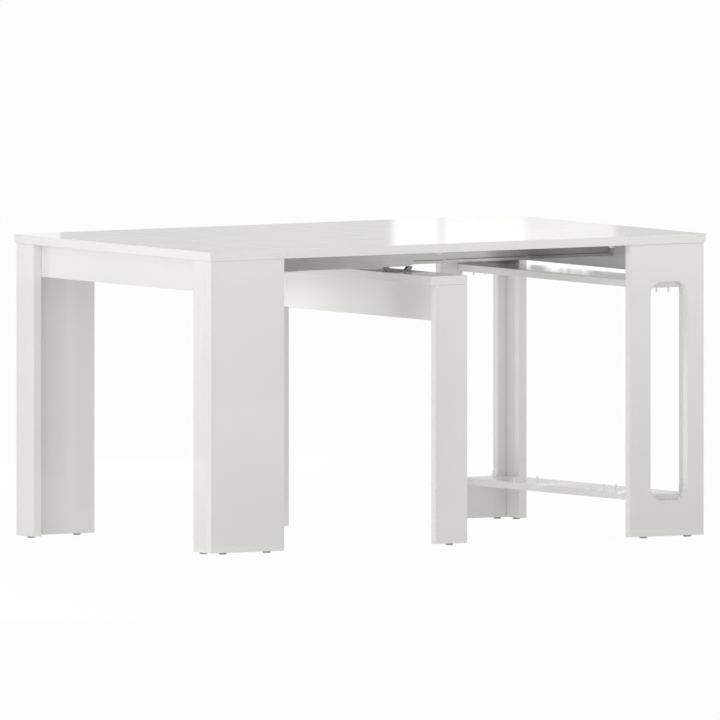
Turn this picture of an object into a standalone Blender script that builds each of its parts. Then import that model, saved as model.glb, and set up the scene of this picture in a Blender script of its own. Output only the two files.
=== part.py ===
"""White gloss extending dining table with two leaves and a leaf rack, in metres with +Z up.

Five bodies slide along X: the left frame stands still, and the slide members, the middle
leg frame and the right frame close towards it. Two leaves lift off the slides. The rest
pose is the open table. The front of the table faces -Y, and the floor is at Z = 0.
"""

import math

import bmesh
import bpy
from mathutils import Matrix, Vector

MM = 0.001

# Overall sizes
TABLE_DEPTH = 900 * MM
TABLE_HEIGHT = 748 * MM
LEAF_COUNT = 2
LEAF_WIDTH = 500 * MM
BOARD = 22 * MM
RACK_BOARD = 17 * MM

# Clearances
SEAT_GAP = 0.3 * MM
SIDE_GAP = 0.6 * MM
HEAD_GAP = 0.4 * MM

# Edges and rounding
BOARD_EDGE = 0.7 * MM
METAL_EDGE = 0.3 * MM
EDGE_STEPS = 2
ROUND_STEPS = 24
CORNER_STEPS = 8
SHARP_DEGREES = 35

# End frames
LEG_INSET = 4 * MM
LEG_PANEL_WIDTH = 215 * MM
LEG_DEPTH = 80 * MM
LEG_FROM_JOINT = 6 * MM
APRON_HEIGHT = 80 * MM

# Glides under the legs
FOOT_HEIGHT = 4 * MM
FOOT_RADIUS = 9.5 * MM
FOOT_EDGE = 0.8 * MM
FOOT_FROM_OUTER_END = 42 * MM
FOOT_FROM_INNER_END = 45 * MM

# Cut-outs of the right leg panels
CUTOUT_FROM_INNER_EDGE = 60 * MM
CUTOUT_WIDTH = 108 * MM
CUTOUT_OVER_STRETCHER_BOTTOM = 2 * MM
CUTOUT_UNDER_RAIL_TOP = 1 * MM
CUTOUT_RADIUS = 32 * MM

# Leaf rack between the right legs
RACK_WIDTH = 143 * MM
LEAF_PLAY_IN_RACK = 9.5 * MM
RACK_UNDER_APRON = 12.2 * MM
PEG_RADIUS = 2.2 * MM
PEG_HEIGHT = 11 * MM
PEG_ROOT = 4 * MM
PEG_PITCH = 34.5 * MM
PEG_COUNT = 3
FIRST_PEG_FROM_RACK_EDGE = 9.5 * MM
RAIL_PEG_FROM_PANEL = 4.5 * MM
STRETCHER_PEG_DEPTH = 270 * MM

# Middle leg frame
MID_SETBACK = 30 * MM
MID_LEG_WIDTH = 92 * MM
MID_BOARD_PROUD = 14.5 * MM
MID_APRON_HEIGHT = 88 * MM

# Telescopic slides
SLIDE_STAGES = 5
SLIDE_HEIGHT = 49 * MM
SLIDE_PITCH = 16 * MM
SLIDE_FRONT_DEPTH = 228 * MM
SLIDE_RUNS_APART = 58 * MM
SLIDE_MIDDLE_LENGTH = 202 * MM
SLIDE_BRIDGE = 4 * MM
SLIDE_WALL = 3 * MM
SLIDE_LIP_HEIGHT = 4 * MM
SLIDE_HEAD = 5 * MM
SLIDE_NECK_LOW = 20 * MM
SLIDE_NECK_HIGH = 32 * MM
SLIDE_FROM_APRON = 2 * MM

# Brackets that carry the slides on the middle frame
BRACKET_LENGTH = 84 * MM
BRACKET_DEPTH = 10 * MM
BRACKET_HEIGHT = 10.8 * MM
BRACKET_FOOT = 15 * MM
BRACKET_SPLAY = 7 * MM
BRACKET_PLATE = 1.6 * MM
BRACKET_PROUD = 3 * MM
BRACKET_OFF_CENTRE = 10 * MM

# Catches under the joints of the top
CATCH_PLATE = 2.5 * MM
CATCH_WIDTH = 16 * MM
CATCH_BASE = 26 * MM
CATCH_TONGUE = 14 * MM
CATCH_DROP = 10 * MM
CATCH_LUG = 6 * MM
CATCH_DEPTH = 85 * MM
LEFT_CATCH_DEPTH = 115 * MM

# Positions that follow from the sizes above
TRAVEL = LEAF_COUNT * LEAF_WIDTH
HALF_TOP = LEG_INSET + LEG_PANEL_WIDTH + LEG_FROM_JOINT
TABLE_LENGTH = 2 * HALF_TOP + TRAVEL
LEFT = -TABLE_LENGTH / 2
RIGHT = TABLE_LENGTH / 2
FRONT = -TABLE_DEPTH / 2
TOP_UNDERSIDE = TABLE_HEIGHT - BOARD
LEG_BOTTOM = FOOT_HEIGHT
LEG_TOP = TOP_UNDERSIDE - SEAT_GAP
STAGE_STEP = TRAVEL / (SLIDE_STAGES - 1)
PANEL_INNER_DEPTH = LEG_INSET + BOARD
APRON_START = LEG_INSET + BOARD
RACK_OUTER_X = RIGHT - LEG_INSET - BOARD - SEAT_GAP
RACK_INNER_X = RACK_OUTER_X - RACK_WIDTH
APRON_BOTTOM = LEG_TOP - APRON_HEIGHT
RACK_RAIL_TOP = APRON_BOTTOM - RACK_UNDER_APRON
RACK_RAIL_BOTTOM = RACK_RAIL_TOP - RACK_BOARD
RACK_STRETCHER_TOP = RACK_RAIL_BOTTOM - LEAF_PLAY_IN_RACK - LEAF_WIDTH
RACK_STRETCHER_BOTTOM = RACK_STRETCHER_TOP - RACK_BOARD
CUTOUT_BOTTOM = RACK_STRETCHER_BOTTOM + CUTOUT_OVER_STRETCHER_BOTTOM
CUTOUT_TOP = RACK_RAIL_TOP - CUTOUT_UNDER_RAIL_TOP
SLIDE_BODY = SLIDE_PITCH - SIDE_GAP
SLIDE_MIDDLE = (SLIDE_STAGES - 1) // 2
SLIDE_MIDDLE_DEPTH = SLIDE_FRONT_DEPTH + SLIDE_MIDDLE * SLIDE_PITCH
SLIDE_TOP = TOP_UNDERSIDE - SEAT_GAP
SLIDE_BOTTOM = SLIDE_TOP - SLIDE_HEIGHT
SLIDE_START = LEFT + APRON_START + BOARD + SLIDE_FROM_APRON
SLIDE_LENGTH = 2 * (HALF_TOP - APRON_START - BOARD - SLIDE_FROM_APRON)
BRACKET_BOTTOM = SLIDE_BOTTOM - SEAT_GAP - BRACKET_HEIGHT
MID_BOARD_TOP = BRACKET_BOTTOM - SEAT_GAP


def clear_scene():
    """Remove every object that the open file holds."""
    for old in list(bpy.data.objects):
        bpy.data.objects.remove(old, do_unlink=True)


def new_collection(name, hidden=False):
    """Make a collection in the scene and return it."""
    made = bpy.data.collections.new(name)
    bpy.context.scene.collection.children.link(made)
    made.hide_render = hidden
    return made


def finish(name, colour, roughness, metallic):
    """Make a Principled material and return it."""
    made = bpy.data.materials.new(name)
    made.use_nodes = True
    shader = made.node_tree.nodes["Principled BSDF"]
    shader.inputs["Base Color"].default_value = (*colour, 1.0)
    shader.inputs["Roughness"].default_value = roughness
    shader.inputs["Metallic"].default_value = metallic
    return made


clear_scene()
PARTS = new_collection("extending_dining_table")
CUTTERS = new_collection("cutters", hidden=True)
WHITE_GLOSS = finish("white_gloss_board", (0.83, 0.83, 0.82), 0.10, 0.0)
ALUMINIUM = finish("slide_aluminium", (0.50, 0.50, 0.50), 0.38, 1.0)
BLACK_STEEL = finish("bracket_black_steel", (0.035, 0.035, 0.036), 0.45, 0.6)
DARK_GLIDE = finish("glide_dark_plastic", (0.09, 0.09, 0.09), 0.5, 0.0)
WHITE_NYLON = finish("catch_white_nylon", (0.80, 0.80, 0.79), 0.40, 0.0)


def body(name, origin):
    """Make the empty that a moving body's pieces hang from, on its joint axis."""
    empty = bpy.data.objects.new(name, None)
    PARTS.objects.link(empty)
    empty.location = origin
    empty.empty_display_size = 0.05
    bpy.context.view_layer.update()
    return empty


def place(obj, parent, material):
    """Put a finished object under its body, keeping its place, and give it its material."""
    PARTS.objects.link(obj)
    obj.parent = parent
    obj.matrix_parent_inverse = parent.matrix_world.inverted()
    obj.data.materials.clear()
    obj.data.materials.append(material)
    return obj


def box_mesh(name, low, high):
    """Make a box mesh between two corners, about its own centre; return it with the centre."""
    low, high = Vector(low), Vector(high)
    size = high - low
    mesh = bpy.data.meshes.new(name)
    work = bmesh.new()
    bmesh.ops.create_cube(work, size=1.0)
    bmesh.ops.scale(work, vec=size, verts=work.verts)
    work.to_mesh(mesh)
    work.free()
    return mesh, (low + high) / 2


def soften(obj, width, steps=EDGE_STEPS):
    """Round an object's sharp edges."""
    bevel = obj.modifiers.new("edges", "BEVEL")
    bevel.width = width
    bevel.segments = steps
    bevel.limit_method = "ANGLE"
    bevel.angle_limit = math.radians(SHARP_DEGREES)


def board(name, low, high, parent, material=WHITE_GLOSS, edge=BOARD_EDGE):
    """Make a board between two corners, with softened edges."""
    mesh, centre = box_mesh(name, low, high)
    obj = bpy.data.objects.new(name, mesh)
    obj.location = centre
    place(obj, parent, material)
    if edge:
        soften(obj, edge)
    return obj


def outline_object(name, points, length):
    """Make a closed flat outline as a filled curve, extruded to a length, and return its mesh object."""
    curve = bpy.data.curves.new(name, "CURVE")
    curve.dimensions = "2D"
    curve.fill_mode = "BOTH"
    curve.extrude = length / 2
    spline = curve.splines.new("POLY")
    spline.points.add(len(points) - 1)
    for point, (u, v) in zip(spline.points, points):
        point.co = (u, v, 0.0, 1.0)
    spline.use_cyclic_u = True
    holder = bpy.data.objects.new(name + "_outline", curve)
    CUTTERS.objects.link(holder)
    bpy.context.view_layer.update()
    seen = bpy.context.evaluated_depsgraph_get()
    mesh = bpy.data.meshes.new_from_object(holder.evaluated_get(seen))
    bpy.data.objects.remove(holder, do_unlink=True)
    work = bmesh.new()
    work.from_mesh(mesh)
    bmesh.ops.remove_doubles(work, verts=work.verts, dist=0.00001)
    bmesh.ops.recalc_face_normals(work, faces=work.faces)
    work.to_mesh(mesh)
    work.free()
    mesh.name = name
    return bpy.data.objects.new(name, mesh)


def rounded_rectangle(left, bottom, right, top, radius):
    """List the points of a rectangle with round corners, anticlockwise."""
    points = []
    for cu, cv, start in (
        (right - radius, bottom + radius, -90),
        (right - radius, top - radius, 0),
        (left + radius, top - radius, 90),
        (left + radius, bottom + radius, 180),
    ):
        for step in range(CORNER_STEPS + 1):
            angle = math.radians(start + 90 * step / CORNER_STEPS)
            points.append((cu + radius * math.cos(angle), cv + radius * math.sin(angle)))
    return points


def cutter(obj):
    """Keep a cutting or joining shape out of the render."""
    CUTTERS.objects.link(obj)
    obj.hide_render = True
    obj.display_type = "WIRE"
    return obj


def combine(obj, other, operation):
    """Add an exact Boolean to an object."""
    step = obj.modifiers.new(operation.lower(), "BOOLEAN")
    step.operation = operation
    step.solver = "EXACT"
    step.object = other


UPRIGHT = Matrix(((1, 0, 0, 0), (0, 0, -1, 0), (0, 1, 0, 0), (0, 0, 0, 1)))
ALONG_X = Matrix(((0, 0, 1, 0), (1, 0, 0, 0), (0, 1, 0, 0), (0, 0, 0, 1)))
ALONG_X_BACK = Matrix(((0, 0, -1, 0), (-1, 0, 0, 0), (0, 1, 0, 0), (0, 0, 0, 1)))


def side_y(depth, back):
    """Turn a depth behind the table's front edge into Y, mirrored for the back half."""
    y = FRONT + depth
    return -y if back else y


def span_y(near, far, back):
    """Give the low and high Y of a span of depths, mirrored for the back half."""
    return sorted((side_y(near, back), side_y(far, back)))


def foot(name, x, y, parent):
    """Make a round glide under a leg."""
    height = LEG_BOTTOM - SEAT_GAP
    mesh = bpy.data.meshes.new(name)
    work = bmesh.new()
    bmesh.ops.create_cone(
        work,
        cap_ends=True,
        segments=ROUND_STEPS,
        radius1=FOOT_RADIUS,
        radius2=FOOT_RADIUS,
        depth=height,
    )
    work.to_mesh(mesh)
    work.free()
    mesh.shade_smooth()
    mesh.set_sharp_from_angle(angle=math.radians(SHARP_DEGREES))
    obj = bpy.data.objects.new(name, mesh)
    obj.location = (x, y, height / 2)
    place(obj, parent, DARK_GLIDE)
    soften(obj, FOOT_EDGE, 1)
    return obj


def leg(side, parent, outer_x, inward, back):
    """Make one L-shaped leg of an end frame: its panel, its return board and its three glides."""
    where = "back" if back else "front"
    inner_x = outer_x + inward * LEG_PANEL_WIDTH
    low_x, high_x = sorted((outer_x, inner_x))
    low_y, high_y = span_y(LEG_INSET, PANEL_INNER_DEPTH, back)
    panel = board(
        f"{side}_{where}_leg_panel", (low_x, low_y, LEG_BOTTOM), (high_x, high_y, LEG_TOP), parent, edge=None
    )
    ret_low_x, ret_high_x = sorted((outer_x, outer_x + inward * BOARD))
    ret_low_y, ret_high_y = span_y(PANEL_INNER_DEPTH + SEAT_GAP, LEG_INSET + LEG_DEPTH, back)
    board(
        f"{side}_{where}_leg_return",
        (ret_low_x, ret_low_y, LEG_BOTTOM),
        (ret_high_x, ret_high_y, LEG_TOP),
        parent,
    )
    panel_y = side_y(LEG_INSET + BOARD / 2, back)
    foot(f"{side}_{where}_foot_outer", outer_x + inward * FOOT_FROM_OUTER_END, panel_y, parent)
    foot(f"{side}_{where}_foot_inner", inner_x - inward * FOOT_FROM_INNER_END, panel_y, parent)
    return_y = side_y((PANEL_INNER_DEPTH + LEG_INSET + LEG_DEPTH) / 2, back)
    foot(f"{side}_{where}_foot_return", outer_x + inward * BOARD / 2, return_y, parent)
    return panel


def peg_group(name, centres, low, high):
    """Make the pegs of one rack board as a single shape to be joined to it."""
    mesh = bpy.data.meshes.new(name)
    work = bmesh.new()
    for x, y in centres:
        bmesh.ops.create_cone(
            work,
            cap_ends=True,
            segments=ROUND_STEPS,
            radius1=PEG_RADIUS,
            radius2=PEG_RADIUS,
            depth=high - low,
            matrix=Matrix.Translation((x, y, (low + high) / 2)),
        )
    work.to_mesh(mesh)
    work.free()
    return cutter(bpy.data.objects.new(name, mesh))


def front_channel():
    """Outline a slide member's front face from top to bottom, with the lipped channel cut into it."""
    roof = SLIDE_HEIGHT - SLIDE_WALL
    web = SLIDE_BODY - SLIDE_WALL
    lip_top = SLIDE_WALL + SLIDE_LIP_HEIGHT
    lip_bottom = roof - SLIDE_LIP_HEIGHT
    return [
        (0.0, SLIDE_HEIGHT),
        (0.0, lip_bottom),
        (SLIDE_WALL, lip_bottom),
        (SLIDE_WALL, roof),
        (web, roof),
        (web, SLIDE_WALL),
        (SLIDE_WALL, SLIDE_WALL),
        (SLIDE_WALL, lip_top),
        (0.0, lip_top),
        (0.0, 0.0),
    ]


def back_tongue(face):
    """Outline the T-shaped tongue on a slide member's back face, from bottom to top."""
    near = face + SIDE_GAP + SLIDE_WALL + HEAD_GAP
    far = near + SLIDE_HEAD
    head_low = SLIDE_WALL + HEAD_GAP
    head_high = SLIDE_HEIGHT - SLIDE_WALL - HEAD_GAP
    return [
        (face, SLIDE_NECK_LOW),
        (near, SLIDE_NECK_LOW),
        (near, head_low),
        (far, head_low),
        (far, head_high),
        (near, head_high),
        (near, SLIDE_NECK_HIGH),
        (face, SLIDE_NECK_HIGH),
    ]


def slide_outline(tongue):
    """Outline a slide member of the right-hand run, with or without the tongue on its back."""
    points = [(SLIDE_BODY, 0.0)]
    if tongue:
        points += back_tongue(SLIDE_BODY)
    points.append((SLIDE_BODY, SLIDE_HEIGHT))
    return points + front_channel()


def turned(points):
    """Turn a slide member's outline round, so that its channel opens to the back."""
    return [(SLIDE_BODY - u, v) for u, v in reversed(points)]


def slide_depth(stage):
    """Give the depth of a slide member's front face behind the table's front edge."""
    past_bridge = SLIDE_RUNS_APART if stage > SLIDE_MIDDLE else 0.0
    return SLIDE_FRONT_DEPTH + stage * SLIDE_PITCH + past_bridge


def along_table(name, points, start, length, depth, back):
    """Extrude an outline along the table from a starting X, with its front face at a depth."""
    obj = outline_object(name, points, length)
    centre = Vector((start + length / 2, side_y(depth, back), SLIDE_BOTTOM))
    obj.matrix_world = Matrix.Translation(centre) @ (ALONG_X_BACK if back else ALONG_X)
    return obj


def middle_slide(name, start, outline, back):
    """Make the middle member: the end of each run and the bridge plate between them."""
    depth = slide_depth(SLIDE_MIDDLE)
    far_start = start + SLIDE_LENGTH - SLIDE_MIDDLE_LENGTH
    overlap = 2 * SLIDE_MIDDLE_LENGTH - SLIDE_LENGTH
    near_u = SLIDE_BODY - 2 * SLIDE_WALL
    far_u = SLIDE_RUNS_APART + 2 * SLIDE_WALL
    low_v = SLIDE_WALL / 6
    plate = [(near_u, low_v), (far_u, low_v), (far_u, low_v + SLIDE_BRIDGE), (near_u, low_v + SLIDE_BRIDGE)]
    inset = overlap / 25
    obj = along_table(name, turned(outline), start, SLIDE_MIDDLE_LENGTH, depth, back)
    bridge = along_table(name + "_bridge", plate, far_start + inset, overlap - 2 * inset, depth, back)
    far_run = along_table(
        name + "_far_run", outline, far_start, SLIDE_MIDDLE_LENGTH, depth + SLIDE_RUNS_APART, back
    )
    combine(obj, cutter(bridge), "UNION")
    combine(obj, cutter(far_run), "UNION")
    return obj


def slide(stage, parent, back):
    """Make one member of the front or back telescopic slide."""
    where = "back" if back else "front"
    name = f"{where}_slide_{stage + 1}"
    start = SLIDE_START + stage * STAGE_STEP
    outline = slide_outline(0 < stage < SLIDE_STAGES - 1)
    if stage == SLIDE_MIDDLE:
        obj = middle_slide(name, start, outline, back)
    else:
        shown = turned(outline) if stage < SLIDE_MIDDLE else outline
        obj = along_table(name, shown, start, SLIDE_LENGTH, slide_depth(stage), back)
    return place(obj, parent, ALUMINIUM)


def bracket(parent, back):
    """Make the splayed bracket between the middle frame's board and its slide member."""
    where = "back" if back else "front"
    height = BRACKET_HEIGHT
    half = BRACKET_LENGTH / 2
    points = [
        (-half + BRACKET_SPLAY, 0.0),
        (half - BRACKET_SPLAY, 0.0),
        (half, height),
        (half - BRACKET_FOOT, height),
        (half - BRACKET_SPLAY - BRACKET_FOOT, BRACKET_PLATE),
        (-half + BRACKET_SPLAY + BRACKET_FOOT, BRACKET_PLATE),
        (-half + BRACKET_FOOT, height),
        (-half, height),
    ]
    y = side_y(SLIDE_MIDDLE_DEPTH - BRACKET_PROUD + BRACKET_DEPTH / 2, back)
    obj = outline_object(f"{where}_slide_bracket", points, BRACKET_DEPTH)
    obj.matrix_world = Matrix.Translation((-BRACKET_OFF_CENTRE, y, BRACKET_BOTTOM)) @ UPRIGHT
    place(obj, parent, BLACK_STEEL)
    soften(obj, METAL_EDGE, 1)
    return obj


def catch(name, joint_x, towards, depth, parent, back):
    """Make the catch under a joint of the top: a plate under its own board and a tongue under the next."""
    points = [
        (-CATCH_BASE, 0.0),
        (-CATCH_BASE, -CATCH_PLATE),
        (-CATCH_LUG, -CATCH_PLATE),
        (-CATCH_LUG, -CATCH_DROP),
        (0.0, -CATCH_DROP),
        (0.0, -CATCH_PLATE),
        (CATCH_TONGUE, -CATCH_PLATE),
        (CATCH_TONGUE, 0.0),
    ]
    if towards < 0:
        points = [(-u, v) for u, v in reversed(points)]
    obj = outline_object(name, points, CATCH_WIDTH)
    obj.matrix_world = Matrix.Translation((joint_x, side_y(depth, back), TOP_UNDERSIDE - SEAT_GAP)) @ UPRIGHT
    place(obj, parent, WHITE_NYLON)
    soften(obj, METAL_EDGE, 1)
    return obj


def top_board(name, low_x, high_x, parent):
    """Make one board of the table top."""
    return board(
        name,
        (low_x, FRONT, TOP_UNDERSIDE),
        (high_x, -FRONT, TABLE_HEIGHT),
        parent,
    )


left_frame = body("left_frame", (LEFT, 0.0, 0.0))
right_frame = body("right_frame", (RIGHT, 0.0, SLIDE_BOTTOM))
mid_frame = body("mid_frame", (0.0, 0.0, SLIDE_BOTTOM))
stage_bodies = [left_frame]
stage_bodies.append(body("slide_stage_2", (LEFT + STAGE_STEP, 0.0, SLIDE_BOTTOM)))
stage_bodies.append(mid_frame)
stage_bodies.append(body("slide_stage_4", (RIGHT - STAGE_STEP, 0.0, SLIDE_BOTTOM)))
stage_bodies.append(right_frame)
leaf_left = body("leaf_left_lift", (-LEAF_WIDTH / 2, 0.0, TOP_UNDERSIDE))
leaf_right = body("leaf_right_lift", (LEAF_WIDTH / 2, 0.0, TOP_UNDERSIDE))

# The four boards of the top, with a seat gap at each joint
top_board("left_top", LEFT, LEFT + HALF_TOP - SEAT_GAP / 2, left_frame)
top_board("leaf_left", LEFT + HALF_TOP + SEAT_GAP / 2, -SEAT_GAP / 2, leaf_left)
top_board("leaf_right", SEAT_GAP / 2, RIGHT - HALF_TOP - SEAT_GAP / 2, leaf_right)
top_board("right_top", RIGHT - HALF_TOP + SEAT_GAP / 2, RIGHT, right_frame)

# End frames: four L-shaped legs, with cut-outs in the right-hand panels
cut_left = RIGHT - LEG_INSET - LEG_PANEL_WIDTH + CUTOUT_FROM_INNER_EDGE
slot = rounded_rectangle(cut_left, CUTOUT_BOTTOM, cut_left + CUTOUT_WIDTH, CUTOUT_TOP, CUTOUT_RADIUS)
leaf_slot = cutter(outline_object("leaf_slot_cutter", slot, TABLE_DEPTH * 1.1))
leaf_slot.matrix_world = UPRIGHT
for back in (False, True):
    soften(leg("left", left_frame, LEFT + LEG_INSET, 1, back), BOARD_EDGE)
    cut_panel = leg("right", right_frame, RIGHT - LEG_INSET, -1, back)
    combine(cut_panel, leaf_slot, "DIFFERENCE")
    soften(cut_panel, BOARD_EDGE)

# Aprons between the leg panels, behind the return boards
between_panels = PANEL_INNER_DEPTH + SEAT_GAP
inner_low, inner_high = span_y(between_panels, TABLE_DEPTH - between_panels, False)
left_apron_x = LEFT + APRON_START + SEAT_GAP
right_apron_x = RIGHT - APRON_START - SEAT_GAP
board(
    "left_apron",
    (left_apron_x, inner_low, APRON_BOTTOM),
    (left_apron_x + BOARD, inner_high, LEG_TOP),
    left_frame,
)
board(
    "right_apron",
    (right_apron_x - BOARD, inner_low, APRON_BOTTOM),
    (right_apron_x, inner_high, LEG_TOP),
    right_frame,
)

# Leaf rack: an upper rail and a lower stretcher with pegs that keep the stored leaves apart
peg_x = [RACK_INNER_X + FIRST_PEG_FROM_RACK_EDGE + PEG_PITCH * n for n in range(PEG_COUNT)]
rail = board(
    "rack_upper_rail",
    (RACK_INNER_X, inner_low, RACK_RAIL_BOTTOM),
    (RACK_OUTER_X, inner_high, RACK_RAIL_TOP),
    right_frame,
    edge=None,
)
rail_pegs = peg_group(
    "rail_pegs",
    [(x, side_y(PANEL_INNER_DEPTH + RAIL_PEG_FROM_PANEL, back)) for back in (False, True) for x in peg_x],
    RACK_RAIL_BOTTOM - PEG_HEIGHT,
    RACK_RAIL_BOTTOM + PEG_ROOT,
)
combine(rail, rail_pegs, "UNION")
soften(rail, METAL_EDGE, 1)
stretcher = board(
    "rack_stretcher",
    (RACK_INNER_X, inner_low, RACK_STRETCHER_BOTTOM),
    (RACK_OUTER_X, inner_high, RACK_STRETCHER_TOP),
    right_frame,
    edge=None,
)
stretcher_pegs = peg_group(
    "stretcher_pegs",
    [(x, side_y(STRETCHER_PEG_DEPTH, back)) for back in (False, True) for x in peg_x],
    RACK_STRETCHER_TOP - PEG_ROOT,
    RACK_STRETCHER_TOP + PEG_HEIGHT,
)
combine(stretcher, stretcher_pegs, "UNION")
soften(stretcher, METAL_EDGE, 1)

# Middle leg frame
mid_low_x = -MID_LEG_WIDTH / 2
mid_high_x = MID_LEG_WIDTH / 2
mid_leg_top = MID_BOARD_TOP - BOARD - SEAT_GAP
for back in (False, True):
    where = "back" if back else "front"
    low_y, high_y = span_y(MID_SETBACK, MID_SETBACK + BOARD, back)
    board(f"mid_{where}_leg", (mid_low_x, low_y, LEG_BOTTOM), (mid_high_x, high_y, mid_leg_top), mid_frame)
    foot(f"mid_{where}_foot", 0.0, side_y(MID_SETBACK + BOARD / 2, back), mid_frame)
    bracket(mid_frame, back)
outer_low, outer_high = span_y(MID_SETBACK, TABLE_DEPTH - MID_SETBACK, False)
board(
    "mid_board",
    (mid_low_x - MID_BOARD_PROUD, outer_low, MID_BOARD_TOP - BOARD),
    (mid_high_x, outer_high, MID_BOARD_TOP),
    mid_frame,
)
between_low, between_high = span_y(
    MID_SETBACK + BOARD + SEAT_GAP, TABLE_DEPTH - MID_SETBACK - BOARD - SEAT_GAP, False
)
board(
    "mid_apron",
    (mid_low_x, between_low, mid_leg_top - MID_APRON_HEIGHT),
    (mid_low_x + BOARD, between_high, mid_leg_top),
    mid_frame,
)

# Telescopic slides, front and back
for back in (False, True):
    for stage, stage_body in enumerate(stage_bodies):
        slide(stage, stage_body, back)

# Catches under the three joints of the top
for back in (False, True):
    where = "back" if back else "front"
    catch(f"{where}_catch_left", LEFT + HALF_TOP, 1, LEFT_CATCH_DEPTH, left_frame, back)
    catch(f"{where}_catch_mid", 0.0, 1, CATCH_DEPTH, leaf_left, back)
    catch(f"{where}_catch_right", RIGHT - HALF_TOP, -1, CATCH_DEPTH, right_frame, back)
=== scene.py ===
"""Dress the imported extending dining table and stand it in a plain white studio."""
import logging
import math
from dataclasses import dataclass, field
from enum import Enum
from typing import ClassVar

import bmesh
import bpy
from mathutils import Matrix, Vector


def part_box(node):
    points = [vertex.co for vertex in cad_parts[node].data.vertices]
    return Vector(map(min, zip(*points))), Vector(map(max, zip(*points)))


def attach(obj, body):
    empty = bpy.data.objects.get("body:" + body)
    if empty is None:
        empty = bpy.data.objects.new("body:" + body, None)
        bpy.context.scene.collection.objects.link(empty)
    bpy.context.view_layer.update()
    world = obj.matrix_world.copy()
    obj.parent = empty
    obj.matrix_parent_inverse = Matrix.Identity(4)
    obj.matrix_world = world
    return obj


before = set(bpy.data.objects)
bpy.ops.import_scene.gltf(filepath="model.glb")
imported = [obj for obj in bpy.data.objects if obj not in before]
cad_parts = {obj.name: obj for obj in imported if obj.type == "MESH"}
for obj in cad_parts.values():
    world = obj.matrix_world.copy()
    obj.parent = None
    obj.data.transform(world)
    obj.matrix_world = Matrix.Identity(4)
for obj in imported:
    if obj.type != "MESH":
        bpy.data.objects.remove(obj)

Colour = tuple[float, float, float]
Point = tuple[float, float, float]
Span = tuple[float, float]
Band = tuple[float, float]
Profile = list[tuple[float, float]]
Ring = list[bmesh.types.BMVert]
Seat = tuple[Vector, Vector]
Socket = bpy.types.NodeSocket

MM = 0.001
UP = Vector((0.0, 0.0, 1.0))
log = logging.getLogger("dining_table")


class Body(Enum):
    """The bodies that carry the new pieces."""

    LEFT_FRAME = "left_frame"
    MID_FRAME = "mid_frame"
    RIGHT_FRAME = "right_frame"
    LEAF_LEFT = "leaf_left_lift"


class Slot(Enum):
    """The finishes that the table's record names."""

    BOARD = "white_gloss_board"
    ALUMINIUM = "slide_aluminium"
    BLACK_STEEL = "bracket_black_steel"
    GLIDE = "glide_dark_plastic"
    NYLON = "catch_white_nylon"


class Row(Enum):
    """The two long sides of the table."""

    FRONT = "front"
    BACK = "back"

    @property
    def sign(self) -> float:
        """Tell which way this side lies along Y."""
        return -1.0 if self is Row.FRONT else 1.0


class End(Enum):
    """The two short ends of the table."""

    LEFT = "left"
    RIGHT = "right"


class Joint(Enum):
    """The three joints between the boards of the top."""

    LEFT = "left"
    MIDDLE = "mid"
    RIGHT = "right"


class Side(Enum):
    """Which way a card stands from the table's middle.

    The camera looks along BEHIND. End faces turn that view to BACK_LEFT, and front faces to FRONT_RIGHT.
    """

    BEHIND = (0.538, 0.843, 0.0)
    BACK_LEFT = (-0.538, 0.843, 0.0)
    FRONT_RIGHT = (0.538, -0.843, 0.0)
    RIGHT = (1.0, 0.0, 0.0)


@dataclass(frozen=True)
class Grain:
    """A noise: its lumps to the metre, how many finer layers it has, and how dense it is along each axis."""

    scale: float
    detail: float
    stretch: Point = (1.0, 1.0, 1.0)


@dataclass(frozen=True)
class Relief:
    """How a noise raises a surface: its height in metres and how much of it shows."""

    depth: float
    strength: float


class NodeSheet:
    """A node tree whose nodes are laid down one by one."""

    def __init__(self, tree: bpy.types.NodeTree) -> None:
        """Take the tree that the nodes go in."""
        self.tree = tree

    @staticmethod
    def fix(node: bpy.types.Node, **inputs: float | tuple) -> None:
        """Set sockets that are the same all over.

        Args:
            node: the node that has them.
            inputs: their values, by socket name with underscores for blanks.
        """
        for name, value in inputs.items():
            node.inputs[name.replace("_", " ")].default_value = value

    def add(self, kind: str, **inputs: float | tuple) -> bpy.types.Node:
        """Lay down one node.

        Args:
            kind: Blender's name for the node's type.
            inputs: values for its sockets, by socket name with underscores for blanks.

        Returns:
            The new node.
        """
        node = self.tree.nodes.new(kind)
        self.fix(node, **inputs)
        return node

    def wire(self, start: Socket, end: Socket) -> None:
        """Join an output to an input."""
        self.tree.links.new(start, end)

    def remap(self, source: Socket, before: Span, after: Span, smooth: bool = False) -> Socket:
        """Carry one range of values over to another.

        Args:
            source: the value.
            before: the range that it runs over.
            after: what the two ends of that range become.
            smooth: whether the change eases in and out.

        Returns:
            The socket that gives the new value.
        """
        ends = {"From_Min": before[0], "From_Max": before[1], "To_Min": after[0], "To_Max": after[1]}
        node = self.add("ShaderNodeMapRange", **ends)
        if smooth:
            node.interpolation_type = "SMOOTHSTEP"
        self.wire(source, node.inputs["Value"])
        return node.outputs["Result"]

    def project(self, source: Socket) -> bpy.types.Node:
        """Lay down a dot product.

        Args:
            source: its first vector.

        Returns:
            The node, whose second vector is still to be set.
        """
        node = self.add("ShaderNodeVectorMath")
        node.operation = "DOT_PRODUCT"
        self.wire(source, node.inputs[0])
        return node


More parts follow.
